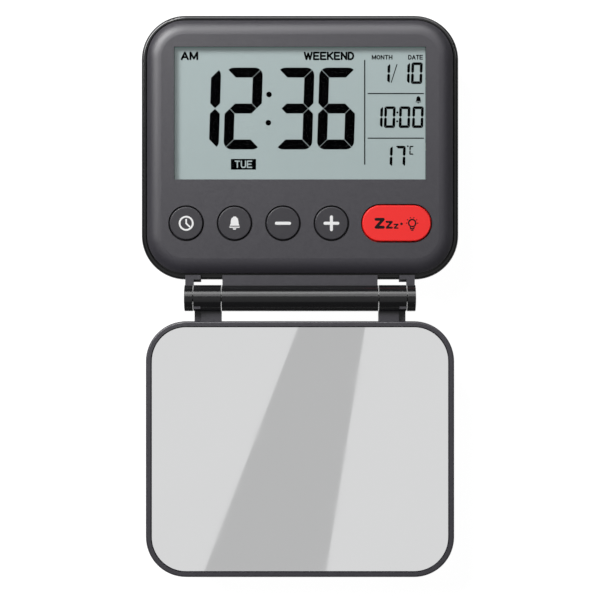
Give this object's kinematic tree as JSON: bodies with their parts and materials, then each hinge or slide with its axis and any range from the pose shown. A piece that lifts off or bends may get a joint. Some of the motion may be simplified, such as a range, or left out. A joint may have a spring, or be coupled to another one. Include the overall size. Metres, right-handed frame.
{
  "type": "folding travel alarm clock",
  "caption": "Folding travel alarm clock with a liquid-crystal display, a row of push buttons and a snooze bar, and a hinged lid with a vanity mirror that also props it up.",
  "frame": {"origin": "under the lid hinge axis, midway along it, in the plane of the flat back; the clock lies on its back, opened flat, and this is the middle of its bottom to within a millimetre", "axes": "+Z out of the display, +Y from the hinge to the top of the display, +X along the hinge to the display's right"},
  "size_m": [0.09, 0.1589, 0.0239],
  "materials": {
    "case_plastic": "fine satin texture",
    "button_plastic": "fine satin texture, white printed symbols",
    "red_plastic": "smooth satin, black printed symbols",
    "clear_lens": "clear polished acrylic",
    "black_tape": "thin double-sided tape",
    "display_film": "grey-green polarising film",
    "display_glass": "clear float glass with cut edges",
    "light_guide": "milky acrylic",
    "led_body": "white case with yellow phosphor",
    "white_plastic": "white moulded plastic",
    "contact_rubber": "carbon-filled rubber",
    "board": "green solder mask over glass fibre",
    "black_resin": "black epoxy",
    "steel": "drawn bright steel",
    "chip_ceramic": "fired ceramic with tinned ends",
    "silicone": "grey silicone",
    "cell_jacket": "printed jacket with a copper-coloured band, no lettering",
    "plated_steel": "nickel-plated spring steel",
    "mirror": "silvered glass with a ground edge",
    "white_tape": "foam tape",
    "brass": "plain brass disc",
    "sounder_ceramic": "silvered piezo ceramic",
    "lead_jacket": "red insulated wire",
    "screw_steel": "zinc-plated steel"
  },
  "bodies": {
    "clock": {"rear_case": "case_plastic", "front_bezel": "case_plastic", "display_lens": "clear_lens", "lens_adhesive": "black_tape", "front_polariser": "display_film", "rear_polariser": "display_film", "lcd_front_glass": "display_glass", "lcd_rear_glass": "display_glass", "light_guide": "light_guide", "backlight_leds": "led_body", "lcd_frame": "white_plastic", "zebra_strip": "contact_rubber", "main_board": "board", "controller_blob": "black_resin", "watch_crystal": "steel", "temperature_sensor": "black_resin", "board_chips": "chip_ceramic", "keypad_membrane": "silicone", "key_contact_pills": "contact_rubber", "aaa_cell_1": "cell_jacket", "aaa_cell_2": "cell_jacket", "bridge_contact": "plated_steel", "terminal_contacts": "plated_steel", "battery_springs": "plated_steel", "hinge_pin": "steel", "sounder_disc": "brass", "sounder_ceramic": "sounder_ceramic", "sounder_leads": "lead_jacket", "case_screws": "screw_steel", "board_screws": "screw_steel"},
    "lid": {"lid_shell": "case_plastic", "mirror_glass": "mirror", "mirror_adhesive": "white_tape"},
    "battery_door": {"battery_door": "case_plastic"},
    "clock_set_button": {"clock_set_button": "button_plastic"},
    "alarm_set_button": {"alarm_set_button": "button_plastic"},
    "minus_button": {"minus_button": "button_plastic"},
    "plus_button": {"plus_button": "button_plastic"},
    "snooze_button": {"snooze_button": "red_plastic"}
  },
  "joints": [
    {"name": "lid_hinge", "type": "hinge", "parent": "clock", "child": "lid", "pos_m": [0, 0, 0.0202], "axis": [-1, 0, 0], "range_deg": [-97, 180]},
    {"name": "battery_door_hinge", "type": "hinge", "parent": "clock", "child": "battery_door", "pos_m": [0, 0.03475, 0.00015], "axis": [1, 0, 0], "range_deg": [0, 75]},
    {"name": "clock_set_button_press", "type": "slide", "parent": "clock", "child": "clock_set_button", "axis": [0, 0, -1], "range_m": [0, 0.0007], "stiffness_N_per_m": 1200, "deforming": ["keypad_membrane", "key_contact_pills"]},
    {"name": "alarm_set_button_press", "type": "slide", "parent": "clock", "child": "alarm_set_button", "axis": [0, 0, -1], "range_m": [0, 0.0007], "stiffness_N_per_m": 1200, "deforming": ["keypad_membrane", "key_contact_pills"]},
    {"name": "minus_button_press", "type": "slide", "parent": "clock", "child": "minus_button", "axis": [0, 0, -1], "range_m": [0, 0.0007], "stiffness_N_per_m": 1200, "deforming": ["keypad_membrane", "key_contact_pills"]},
    {"name": "plus_button_press", "type": "slide", "parent": "clock", "child": "plus_button", "axis": [0, 0, -1], "range_m": [0, 0.0007], "stiffness_N_per_m": 1200, "deforming": ["keypad_membrane", "key_contact_pills"]},
    {"name": "snooze_button_press", "type": "slide", "parent": "clock", "child": "snooze_button", "axis": [0, 0, -1], "range_m": [0, 0.0007], "stiffness_N_per_m": 1200, "deforming": ["keypad_membrane", "key_contact_pills"]}
  ]
}
